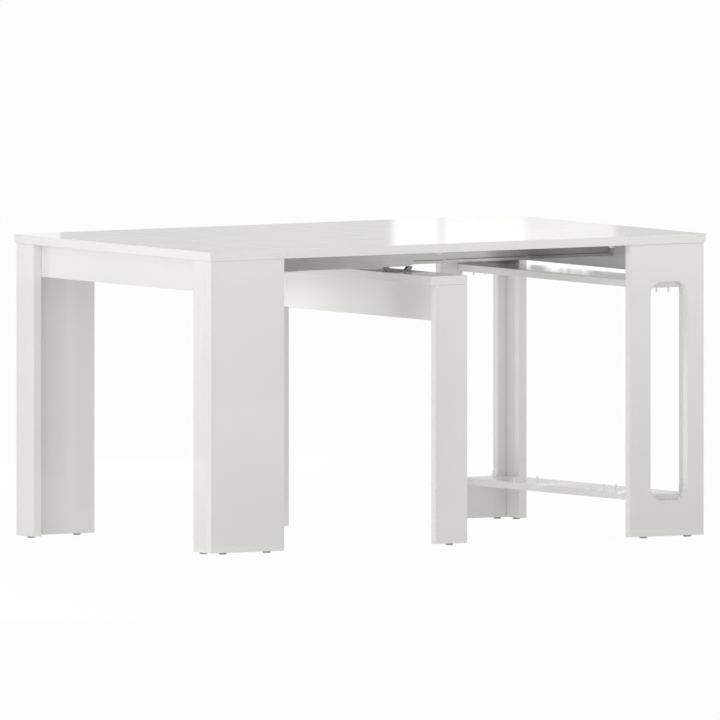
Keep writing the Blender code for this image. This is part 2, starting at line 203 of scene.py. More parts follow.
class FinishSheet(NodeSheet):
    """A material of the table, built round the principled shader."""

    NOISE_ROUGHNESS: ClassVar[float] = 0.55
    NOISE_REACH: ClassVar[Span] = (0.3, 0.7)
    EDGE_BEND: ClassVar[Span] = (0.995, 0.80)
    EDGE_SAMPLES: ClassVar[int] = 6

    def __init__(self, name: str) -> None:
        """Start a material with its principled shader.

        Args:
            name: the material's name.
        """
        self.material = bpy.data.materials.new(name)
        self.material.use_nodes = True
        super().__init__(self.material.node_tree)
        self.shader = self.tree.nodes["Principled BSDF"]
        self.place = self.add("ShaderNodeTexCoord").outputs["Object"]

    def feed(self, **sources: Socket) -> None:
        """Wire values that change over the surface to the principled shader.

        Args:
            sources: the values, by socket name with underscores for blanks.
        """
        for name, source in sources.items():
            self.wire(source, self.shader.inputs[name.replace("_", " ")])

    def noise(self, grain: Grain) -> Socket:
        """Lay down a noise over the piece.

        Args:
            grain: the noise.

        Returns:
            The socket that gives the noise, about 0.3 to 0.7.
        """
        mapping = self.add("ShaderNodeMapping", Scale=grain.stretch)
        noise = self.add("ShaderNodeTexNoise", Scale=grain.scale, Detail=grain.detail)
        self.fix(noise, Roughness=self.NOISE_ROUGHNESS)
        self.wire(self.place, mapping.inputs["Vector"])
        self.wire(mapping.outputs["Vector"], noise.inputs["Vector"])
        return noise.outputs["Fac"]

    def tones(self, source: Socket, dark: Colour, light: Colour) -> Socket:
        """Run from one tone to another with a noise.

        Args:
            source: the noise.
            dark: the tone where it is weak.
            light: the tone where it is strong.

        Returns:
            The socket that gives the colour.
        """
        node = self.add("ShaderNodeValToRGB")
        for stop, where, tone in zip(node.color_ramp.elements, self.NOISE_REACH, (dark, light)):
            stop.position = where
            stop.color = (*tone, 1.0)
        self.wire(source, node.inputs["Fac"])
        return node.outputs["Color"]

    def haze(self, grain: Grain, roughness: Span) -> Socket:
        """Let the roughness wander between two values.

        Args:
            grain: the noise that it follows.
            roughness: its lowest and its highest value.

        Returns:
            The socket that gives the roughness.
        """
        return self.remap(self.noise(grain), self.NOISE_REACH, roughness)

    def raised(self, height: Socket, relief: Relief) -> Socket:
        """Raise the surface by a noise.

        Args:
            height: the noise.
            relief: how far it raises the surface.

        Returns:
            The socket that gives the raised surface's normal.
        """
        node = self.add("ShaderNodeBump", Strength=relief.strength, Distance=relief.depth)
        self.wire(height, node.inputs["Height"])
        return node.outputs["Normal"]

    def near_edges(self, width: float) -> Socket:
        """Find the strip along the edges of a piece.

        Args:
            width: the strip's width in metres.

        Returns:
            The socket that is 0 on the faces and up to 1 at the edges.
        """
        bent = self.add("ShaderNodeBevel", Radius=width)
        bent.samples = self.EDGE_SAMPLES
        flat = self.add("ShaderNodeNewGeometry")
        bend = self.project(bent.outputs["Normal"])
        self.wire(flat.outputs["True Normal"], bend.inputs[1])
        return self.remap(bend.outputs["Value"], self.EDGE_BEND, (0.0, 1.0))

    def blend(self, amount: Socket, base: Socket, over: Colour) -> Socket:
        """Lay a second tone over a colour.

        Args:
            amount: where the second tone shows.
            base: the colour below it.
            over: the second tone.

        Returns:
            The socket that gives the mixed colour.
        """
        node = self.add("ShaderNodeMix")
        node.data_type = "RGBA"
        below, above = [socket for socket in node.inputs if socket.type == "RGBA"]
        self.wire(amount, node.inputs["Factor"])
        self.wire(base, below)
        above.default_value = (*over, 1.0)
        return next(socket for socket in node.outputs if socket.type == "RGBA")

    def add_up(self, one: Socket, other: Socket, share: float) -> Socket:
        """Add a share of one value to another.

        Args:
            one: the value that stays whole.
            other: the value that a share is taken of.
            share: that share.

        Returns:
            The socket that gives the sum.
        """
        node = self.add("ShaderNodeMath")
        node.operation = "MULTIPLY_ADD"
        self.wire(other, node.inputs[0])
        node.inputs[1].default_value = share
        self.wire(one, node.inputs[2])
        return node.outputs["Value"]


class StageSheet(NodeSheet):
    """A material of the studio, bare but for its output."""

    def __init__(self, name: str) -> None:
        """Start a material that has only an output.

        Args:
            name: the material's name.
        """
        self.material = bpy.data.materials.new(name)
        self.material.use_nodes = True
        super().__init__(self.material.node_tree)
        self.tree.nodes.clear()
        self.surface = self.add("ShaderNodeOutputMaterial").inputs["Surface"]


@dataclass(frozen=True)
class GlossBoard:
    """White lacquered board: a clear gloss with faint clouds, orange peel and a glue line at its edges."""

    name: str = "white_gloss_lacquer"
    shade: Colour = (0.855, 0.849, 0.833)
    light: Colour = (0.875, 0.869, 0.854)
    glue_line: Colour = (0.825, 0.817, 0.798)
    clouds: Grain = Grain(3.0, 3.0)
    haze: Grain = Grain(14.0, 4.0)
    roughness: Span = (0.062, 0.088)
    edge_width: float = 0.9 * MM
    edge_haze: float = 0.08
    peel: Grain = Grain(260.0, 2.0)
    relief: Relief = Relief(0.02 * MM, 0.06)
    refraction: float = 1.5

    def make(self) -> bpy.types.Material:
        """Build the material.

        Returns:
            The new material.
        """
        sheet = FinishSheet(self.name)
        edges = sheet.near_edges(self.edge_width)
        face = sheet.tones(sheet.noise(self.clouds), self.shade, self.light)
        sheet.feed(
            Base_Color=sheet.blend(edges, face, self.glue_line),
            Roughness=sheet.add_up(sheet.haze(self.haze, self.roughness), edges, self.edge_haze),
            Normal=sheet.raised(sheet.noise(self.peel), self.relief),
        )
        sheet.fix(sheet.shader, IOR=self.refraction)
        return sheet.material


@dataclass(frozen=True)
class DrawnAluminium:
    """Satin extrusion with fine die lines along its length."""

    name: str = "drawn_aluminium"
    dark: Colour = (0.575, 0.572, 0.562)
    light: Colour = (0.625, 0.622, 0.612)
    die_lines: Grain = Grain(1.0, 5.0, (1.5, 420.0, 420.0))
    haze: Grain = Grain(14.0, 3.0)
    roughness: Span = (0.17, 0.27)
    relief: Relief = Relief(0.02 * MM, 0.10)
    metal: float = 1.0

    def make(self) -> bpy.types.Material:
        """Build the material.

        Returns:
            The new material.
        """
        sheet = FinishSheet(self.name)
        lines = sheet.noise(self.die_lines)
        sheet.feed(
            Base_Color=sheet.tones(lines, self.dark, self.light),
            Roughness=sheet.haze(self.haze, self.roughness),
            Normal=sheet.raised(lines, self.relief),
        )
        sheet.fix(sheet.shader, Metallic=self.metal)
        return sheet.material


@dataclass(frozen=True)
class GrainedFinish:
    """A coat or a moulding with faint clouds, a fine grain and edges of another tone."""

    name: str
    dark: Colour
    light: Colour
    edges: Colour
    edge_width: float
    clouds: Grain
    haze: Grain
    roughness: Span
    grain: Grain
    relief: Relief
    metal: float = 0.0

    def make(self) -> bpy.types.Material:
        """Build the material.

        Returns:
            The new material.
        """
        sheet = FinishSheet(self.name)
        body = sheet.tones(sheet.noise(self.clouds), self.dark, self.light)
        sheet.feed(
            Base_Color=sheet.blend(sheet.near_edges(self.edge_width), body, self.edges),
            Roughness=sheet.haze(self.haze, self.roughness),
            Normal=sheet.raised(sheet.noise(self.grain), self.relief),
        )
        sheet.fix(sheet.shader, Metallic=self.metal)
        return sheet.material


@dataclass(frozen=True)
class CoatedSteel(GrainedFinish):
    """Dark metallic powder coat, rubbed paler at its edges."""

    name: str = "dark_coated_steel"
    dark: Colour = (0.34, 0.34, 0.337)
    light: Colour = (0.40, 0.40, 0.397)
    edges: Colour = (0.52, 0.52, 0.515)
    edge_width: float = 0.8 * MM
    clouds: Grain = Grain(60.0, 4.0)
    haze: Grain = Grain(45.0, 3.0)
    roughness: Span = (0.36, 0.52)
    grain: Grain = Grain(900.0, 2.0)
    relief: Relief = Relief(0.10 * MM, 0.35)
    metal: float = 0.7


@dataclass(frozen=True)
class MouldedGlide(GrainedFinish):
    """Grey moulded plastic, scuffed paler at its edges."""

    name: str = "moulded_glide"
    dark: Colour = (0.33, 0.33, 0.327)
    light: Colour = (0.40, 0.40, 0.396)
    edges: Colour = (0.47, 0.465, 0.455)
    edge_width: float = 1.0 * MM
    clouds: Grain = Grain(180.0, 4.0)
    haze: Grain = Grain(120.0, 3.0)
    roughness: Span = (0.42, 0.60)
    grain: Grain = Grain(1600.0, 1.0)
    relief: Relief = Relief(0.08 * MM, 0.3)


@dataclass(frozen=True)
class MouldedNylon(GrainedFinish):
    """White moulded nylon: a soft sheen, faint flow clouds and a fine spark-eroded grain."""

    name: str = "white_moulded_nylon"
    dark: Colour = (0.92, 0.917, 0.907)
    light: Colour = (0.95, 0.947, 0.937)
    edges: Colour = (0.91, 0.906, 0.895)
    edge_width: float = 0.5 * MM
    clouds: Grain = Grain(40.0, 3.0)
    haze: Grain = Grain(90.0, 3.0)
    roughness: Span = (0.30, 0.42)
    grain: Grain = Grain(1400.0, 1.0)
    relief: Relief = Relief(0.05 * MM, 0.2)


Finish = GlossBoard | DrawnAluminium | GrainedFinish


class FinishBook:
    """Every finish of the table, made once and handed out by slot."""

    RECIPES: ClassVar[dict[Slot, Finish]] = {
        Slot.BOARD: GlossBoard(),
        Slot.ALUMINIUM: DrawnAluminium(),
        Slot.BLACK_STEEL: CoatedSteel(),
        Slot.GLIDE: MouldedGlide(),
        Slot.NYLON: MouldedNylon(),
    }

    def __init__(self) -> None:
        """Make all the materials."""
        self.made = {slot: recipe.make() for slot, recipe in self.RECIPES.items()}

    def paint(self, piece: bpy.types.Object, slot: Slot) -> None:
        """Give a piece the material of a slot.

        Args:
            piece: the object to paint.
            slot: the finish that it takes.
        """
        piece.data.materials.clear()
        piece.data.materials.append(self.made[slot])


class Mould:
    """Makes the meshes of the small pieces and of the studio."""

    STEPS: ClassVar[int] = 24

    @staticmethod
    def new_object(name: str, mesh: bmesh.types.BMesh, smooth_degrees: float = 40.0) -> bpy.types.Object:
        """Turn a worked mesh into an object in the scene.

        Args:
            name: the object's name.
            mesh: the worked mesh, which is freed.
            smooth_degrees: edges flatter than this are shaded smooth.

        Returns:
            The new object.
        """
        bmesh.ops.recalc_face_normals(mesh, faces=mesh.faces)
        for face in mesh.faces:
            face.smooth = True
        limit = math.radians(smooth_degrees)
        for edge in mesh.edges:
            edge.smooth = edge.calc_face_angle(math.pi) < limit
        data = bpy.data.meshes.new(name)
        mesh.to_mesh(data)
        mesh.free()
        piece = bpy.data.objects.new(name, data)
        bpy.context.scene.collection.objects.link(piece)
        return piece

    @staticmethod
    def square_to(up: Vector) -> tuple[Vector, Vector]:
        """Find two ways that are square to an axis and to each other.

        Args:
            up: the axis, of length 1.

        Returns:
            The two ways, of length 1.
        """
        side = up.orthogonal().normalized()
        return side, up.cross(side)

    @classmethod
    def turn(cls, mesh: bmesh.types.BMesh, profile: Profile, foot: Vector, up: Vector) -> list[Ring]:
        """Spin a profile into a closed solid.

        Args:
            mesh: the mesh that takes it.
            profile: radius and height of each ring; radius 0 at both ends closes the solid.
            foot: where height 0 is on the axis.
            up: the axis, of length 1.

        Returns:
            The rings of vertices, with one vertex where the radius is 0.
        """
        side, other = cls.square_to(up)
        rings = []
        for radius, height in profile:
            centre = foot + up * height
            if radius == 0.0:
                rings.append([mesh.verts.new(centre)])
                continue
            ring = []
            for step in range(cls.STEPS):
                angle = 2.0 * math.pi * step / cls.STEPS
                spoke = math.cos(angle) * side + math.sin(angle) * other
                ring.append(mesh.verts.new(centre + radius * spoke))
            rings.append(ring)
        for low, high in zip(rings, rings[1:]):
            cls.skin(mesh, low, high)
        return rings

    @staticmethod
    def skin(mesh: bmesh.types.BMesh, low: Ring, high: Ring) -> None:
        """Close the band between two rings.

        Args:
            mesh: the mesh that holds them.
            low: the first ring, or one vertex.
            high: the second ring, or one vertex.
        """
        count = max(len(low), len(high))
        for step in range(count):
            after = (step + 1) % count
            if len(low) == 1:
                mesh.faces.new((low[0], high[after], high[step]))
            elif len(high) == 1:
                mesh.faces.new((low[step], low[after], high[0]))
            else:
                mesh.faces.new((low[step], low[after], high[after], high[step]))


@dataclass
class ScrewHeads:
    """Pan-head screws with a cross recess."""

    radius: float
    height: float
    foot_share: float = 0.97
    rim_height: float = 0.4 * MM
    dome_shares: tuple[float, ...] = (0.94, 0.82, 0.66, 0.55, 0.46, 0.36, 0.26, 0.16)
    dome_fall: float = 0.72
    recess: float = 1.0 * MM
    recess_reach: float = 1.9 * MM
    recess_half_width: float = 0.5 * MM
    lift: float = 0.05 * MM
    smooth_degrees: float = 30.0

    def build(self, name: str, seats: list[Seat]) -> bpy.types.Object:
        """Make one mesh with a screw head on each seat.

        Args:
            name: the object's name.
            seats: for each screw, the point that it sits on and the way that it faces.

        Returns:
            The new object.
        """
        mesh = bmesh.new()
        for seat, up in seats:
            self.head(mesh, seat, up)
        return Mould.new_object(name, mesh, self.smooth_degrees)

    def head(self, mesh: bmesh.types.BMesh, seat: Vector, up: Vector) -> None:
        """Turn one head and press its cross recess.

        Args:
            mesh: the mesh that takes it.
            seat: the point that it sits on.
            up: the way that it faces, of length 1.
        """
        foot = [(0.0, self.lift), (self.radius * self.foot_share, self.lift)]
        rim = [(self.radius, self.lift + self.rim_height)]
        dome = []
        for share in self.dome_shares:
            rise = self.height * math.sqrt(1.0 - self.dome_fall * share * share)
            dome.append((self.radius * share, self.lift + rise))
        crown = [(0.0, self.lift + self.height)]
        rings = Mould.turn(mesh, foot + rim + dome + crown, seat, up)
        side, other = Mould.square_to(up)
        for ring in rings[len(foot + rim):]:
            for vertex in ring:
                spoke = vertex.co - seat
                near, far = sorted((abs(spoke.dot(side)), abs(spoke.dot(other))))
                if near < self.recess_half_width and far < self.recess_reach:
                    vertex.co -= up * self.recess


@dataclass
class Assembly:
    """A group of nodes and pieces that are built and dressed together."""

    finishes: FinishBook

    def build(self) -> None:
        """Add the small pieces that the group has beside its nodes, if any."""

    def dress(self) -> None:
        """Paint the nodes of the group."""
        raise NotImplementedError

    def dress_nodes(self, slot: Slot, *names: str) -> None:
        """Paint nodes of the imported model.

        Args:
            slot: the finish that they take.
            names: the nodes.
        """
        for name in names:
            self.finishes.paint(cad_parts[name], slot)
            log.info("node %s in %s", name, slot.value)

    def add_piece(self, piece: bpy.types.Object, body: Body, slot: Slot) -> None:
        """Paint a new piece and let it ride on a body.

        Args:
            piece: the new object.
            body: the body that carries it.
            slot: the finish that it takes.
        """
        self.finishes.paint(piece, slot)
        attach(piece, body.value)
        log.info("piece %s on %s in %s", piece.name, body.value, slot.value)


@dataclass
class TableTop(Assembly):
    """The four boards of the top and the catches under their joints."""

    catch_plate: float = 2.5 * MM
    catch_past_joint: float = 14.0 * MM
    screw_from_joint: float = 16.0 * MM
    screws: ScrewHeads = field(default_factory=lambda: ScrewHeads(radius=3.2 * MM, height=1.6 * MM))

    # For each joint, the body that carries its catches and which way along X its board lies
    HOMES: ClassVar[dict[Joint, tuple[Body, float]]] = {
        Joint.LEFT: (Body.LEFT_FRAME, -1.0),
        Joint.MIDDLE: (Body.LEAF_LEFT, -1.0),
        Joint.RIGHT: (Body.RIGHT_FRAME, 1.0),
    }

    def catch_seat(self, row: Row, joint: Joint, way: float) -> Seat:
        """Find where the screw of one catch sits.

        Args:
            row: the long side that the catch is on.
            joint: the joint that it spans.
            way: which way along X the board that carries it lies from the joint.

        Returns:
            The point that the screw sits on and the way that it faces.
        """
        low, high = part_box(f"{row.value}_catch_{joint.value}")
        tip = high.x if way < 0.0 else low.x
        x = tip + way * (self.catch_past_joint + self.screw_from_joint)
        return Vector((x, (low.y + high.y) / 2, high.z - self.catch_plate)), -UP

    def build(self) -> None:
        """Screw each catch to the board that carries it."""
        for joint, (body, way) in self.HOMES.items():
            seats = [self.catch_seat(row, joint, way) for row in Row]
            screws = self.screws.build(f"catch_screws_{joint.value}", seats)
            self.add_piece(screws, body, Slot.ALUMINIUM)

    def dress(self) -> None:
        """Paint the boards and the catches."""
        self.dress_nodes(Slot.BOARD, "left_top", "leaf_left", "leaf_right", "right_top")
        for row in Row:
            self.dress_nodes(Slot.NYLON, *[f"{row.value}_catch_{joint.value}" for joint in Joint])


@dataclass
class EndFrame(Assembly):
    """One end of the table: two L-shaped legs on glides and the apron between them."""

    end: End

    def dress(self) -> None:
        """Paint the boards and the glides."""
        self.dress_nodes(Slot.BOARD, f"{self.end.value}_apron")
        for row in Row:
            leg = f"{self.end.value}_{row.value}"
            self.dress_nodes(Slot.BOARD, f"{leg}_leg_panel", f"{leg}_leg_return")
            self.dress_nodes(Slot.GLIDE, *[f"{leg}_foot_{place}" for place in ("outer", "inner", "return")])


@dataclass
class LeafRack(Assembly):
    """The rail and the stretcher that hold the leaves on edge, with a nylon cap on each peg."""

    peg_radius: float = 2.2 * MM
    peg_height: float = 11.0 * MM
    peg_pitch: float = 34.5 * MM
    pegs_in_row: int = 3
    first_peg: float = 9.5 * MM
    rail_peg_y: float = 419.5 * MM
    stretcher_peg_y: float = 180.0 * MM
    cap_wall: float = 0.16 * MM
    cap_play: float = 0.05 * MM
    cap_lift: float = 0.06 * MM
    collar: float = 0.35 * MM
    collar_height: float = 0.55 * MM
    shoulder_height: float = 0.85 * MM
    shoulder_share: float = 1 / 3
    neck_height: float = 1.2 * MM

    # Rings of the cap's crown: share of the cap's radius and height over the bottom of its bore
    CROWN: ClassVar[Profile] = [(1.0, -0.5 * MM), (0.88, 0.2 * MM), (0.6, 0.42 * MM), (0.0, 0.5 * MM)]

    def cap(self) -> Profile:
        """Outline a cap from the bottom of its bore round its collar to its crown.

        Returns:
            Radius and height of each ring, with height 0 at the foot of the peg.
        """
        bore = self.peg_radius + self.cap_play
        skin = bore + self.cap_wall
        brim = skin + self.collar
        tip = self.peg_height + self.cap_play
        inside = [(0.0, tip), (bore, tip), (bore, self.cap_lift)]
        collar = [
            (brim, self.cap_lift),
            (brim, self.collar_height),
            (skin + self.collar * self.shoulder_share, self.shoulder_height),
            (skin, self.neck_height),
        ]
        crown = [(skin * share, tip + rise) for share, rise in self.CROWN]
        return inside + collar + crown

    def push_caps(self, name: str, node: str, peg_y: float, up: Vector) -> None:
        """Push a cap over every peg of one board.

        Args:
            name: the name of the new piece.
            node: the board with its pegs.
            peg_y: how far its rows of pegs stand from the table's middle.
            up: the way that its pegs point.
        """
        low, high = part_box(node)
        root = high.z - self.peg_height if up.z > 0.0 else low.z + self.peg_height
        mesh = bmesh.new()
        for row in Row:
            for step in range(self.pegs_in_row):
                x = low.x + self.first_peg + self.peg_pitch * step
                Mould.turn(mesh, self.cap(), Vector((x, row.sign * peg_y, root)), up)
        self.add_piece(Mould.new_object(name, mesh), Body.RIGHT_FRAME, Slot.NYLON)

    def build(self) -> None:
        """Cap the pegs of the rail, which point down, and of the stretcher, which point up."""
        self.push_caps("rail_peg_caps", "rack_upper_rail", self.rail_peg_y, -UP)
        self.push_caps("stretcher_peg_caps", "rack_stretcher", self.stretcher_peg_y, UP)

    def dress(self) -> None:
        """Paint the rail and the stretcher."""
        self.dress_nodes(Slot.BOARD, "rack_upper_rail", "rack_stretcher")


@dataclass
class MiddleFrame(Assembly):
    """The middle legs, their board and apron, and the brackets that carry the slides."""

    bracket_plate: float = 1.6 * MM
    screws_apart: float = 24.0 * MM
    screws: ScrewHeads = field(default_factory=lambda: ScrewHeads(radius=2.8 * MM, height=1.5 * MM))

    def build(self) -> None:
        """Screw the brackets down on the board."""
        seats = []
        for row in Row:
            low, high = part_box(f"{row.value}_slide_bracket")
            middle = (low + high) / 2
            for x in (middle.x - self.screws_apart / 2, middle.x + self.screws_apart / 2):
                seats.append((Vector((x, middle.y, low.z + self.bracket_plate)), UP))
        self.add_piece(self.screws.build("bracket_screws", seats), Body.MID_FRAME, Slot.ALUMINIUM)

    def dress(self) -> None:
        """Paint the boards, the brackets and the glides."""
        self.dress_nodes(Slot.BOARD, "mid_board", "mid_apron")
        for row in Row:
            self.dress_nodes(Slot.BOARD, f"mid_{row.value}_leg")
            self.dress_nodes(Slot.GLIDE, f"mid_{row.value}_foot")
            self.dress_nodes(Slot.BLACK_STEEL, f"{row.value}_slide_bracket")


@dataclass
class TelescopicSlides(Assembly):
    """The two slides, each of five aluminium members that run in one another."""

    members: int = 5

    def dress(self) -> None:
        """Paint every member."""
        for row in Row:
            names = [f"{row.value}_slide_{number}" for number in range(1, self.members + 1)]
            self.dress_nodes(Slot.ALUMINIUM, *names)


@dataclass(frozen=True)
class Lamp:
    """One soft area lamp, which isn't seen itself."""

    name: str
    place: Point
    aim: Point
    size: Span
    watts: float
    colour: Colour = (1.0, 0.995, 0.985)

    def hang(self) -> None:
        """Put the lamp in the scene."""
        data = bpy.data.lights.new(self.name, "AREA")
        data.shape = "RECTANGLE"
        data.size, data.size_y = self.size
        data.energy = self.watts
        data.color = self.colour
        lamp = bpy.data.objects.new(self.name, data)
        lamp.location = self.place
        lamp.rotation_euler = (Vector(self.aim) - Vector(self.place)).to_track_quat("-Z", "Y").to_euler()
        lamp.visible_camera = False
        lamp.visible_glossy = False
        bpy.context.scene.collection.objects.link(lamp)


@dataclass(frozen=True)
class Fade:
    """How a card's glow changes with height: whole up to the foot, and a share of it from the head up."""

    foot: float
    head: float
    share: float


@dataclass(frozen=True)
class ReflectionCard:
    """An upright glowing card that only the table's gloss sees.

    Each band gives a place along the card, in metres from where it faces the table's middle, and how
    bright the card glows there.
    """

    name: str
    side: Side
    distance: float
    heights: Span
    bands: tuple[Band, ...]
    fade: Fade | None = None
    warmth: Colour = (1.0, 0.993, 0.976)
    columns: int = 5

    @classmethod
    def plain(
        cls,
        name: str,
        side: Side,
        distance: float,
        heights: Span,
        reach: Span,
        level: float,
        fade: Fade | None = None,
    ) -> "ReflectionCard":
        """Make a card that glows alike along its whole width.

        Args:
            name: the card's name.
            side: which way it stands from the table's middle.
            distance: how far that way it stands, or the other way if below 0.
            heights: its lower and upper edge.
            reach: where it starts and ends along its width.
            level: how bright it glows.
            fade: how its glow changes with height, if it does.

        Returns:
            The card.
        """
        return cls(name, side, distance, heights, tuple((where, level) for where in reach), fade)

    @property
    def reach(self) -> Span:
        """Tell where the bands start and end."""
        return self.bands[0][0], self.bands[-1][0]

    def stand(self) -> None:
        """Put the card in the scene."""
        outward = Vector(self.side.value).normalized()
        across = Vector((outward.y, -outward.x, 0.0))
        start, end = self.reach
        mesh = bmesh.new()
        columns = []
        for step in range(self.columns):
            share = step / (self.columns - 1)
            foot = outward * self.distance + across * (start + (end - start) * share)
            columns.append([mesh.verts.new(foot + UP * height) for height in self.heights])
        for one, two in zip(columns, columns[1:]):
            mesh.faces.new((one[0], two[0], two[1], one[1]))
        card = Mould.new_object(self.name, mesh)
        card.data.materials.append(self.make_bands(across))
        card.visible_camera = False
        card.visible_diffuse = False
        card.visible_shadow = False
        card.visible_transmission = False

    def make_bands(self, across: Vector) -> bpy.types.Material:
        """Make the card's brighter and dimmer bands.

        Args:
            across: the way along the card.

        Returns:
            The material.
        """
        sheet = StageSheet(self.name + "_bands")
        start, end = self.reach
        peak = max(level for _, level in self.bands)
        place = sheet.add("ShaderNodeTexCoord").outputs["Object"]
        along = sheet.project(place)
        along.inputs[1].default_value = across
        ramp = sheet.add("ShaderNodeValToRGB")
        sheet.wire(sheet.remap(along.outputs["Value"], self.reach, (0.0, 1.0)), ramp.inputs["Fac"])
        stops = ramp.color_ramp.elements
        # New stops start halfway, and all of them then move to their bands
        while len(stops) < len(self.bands):
            stops.new(0.5)
        for stop, (where, level) in zip(stops, self.bands):
            stop.position = (where - start) / (end - start)
            stop.color = (*[level / peak * part for part in self.warmth], 1.0)
        glow = sheet.add("ShaderNodeEmission", Strength=peak)
        sheet.wire(ramp.outputs["Color"], glow.inputs["Color"])
        if self.fade:
            height = sheet.add("ShaderNodeSeparateXYZ")
            sheet.wire(place, height.inputs["Vector"])
            levels = (peak, peak * self.fade.share)
            faded = sheet.remap(height.outputs["Z"], (self.fade.foot, self.fade.head), levels, smooth=True)
            sheet.wire(faded, glow.inputs["Strength"])
        sheet.wire(glow.outputs["Emission"], sheet.surface)
        return sheet.material


@dataclass(frozen=True)
class ShadeFlag:
    """A small dark board that keeps soft light off one place and isn't seen itself."""

    name: str
    centre: Point
    size: Span
    tone: Colour = (0.03, 0.03, 0.03)
    cells: int = 2

    def stand(self) -> None:
        """Put the flag in the scene, square to the table's length."""
        mesh = bmesh.new()
        bmesh.ops.create_grid(mesh, x_segments=self.cells, y_segments=self.cells, size=0.5)
        for vertex in mesh.verts:
            depth, height = vertex.co.x * self.size[0], vertex.co.y * self.size[1]
            vertex.co = Vector(self.centre) + Vector((0.0, depth, height))
        flag = Mould.new_object(self.name, mesh)
        sheet = StageSheet(self.name + "_felt")
        felt = sheet.add("ShaderNodeBsdfDiffuse", Color=(*self.tone, 1.0))
        sheet.wire(felt.outputs["BSDF"], sheet.surface)
        flag.data.materials.append(sheet.material)
        flag.visible_camera = False
        flag.visible_glossy = False
        flag.visible_transmission = False


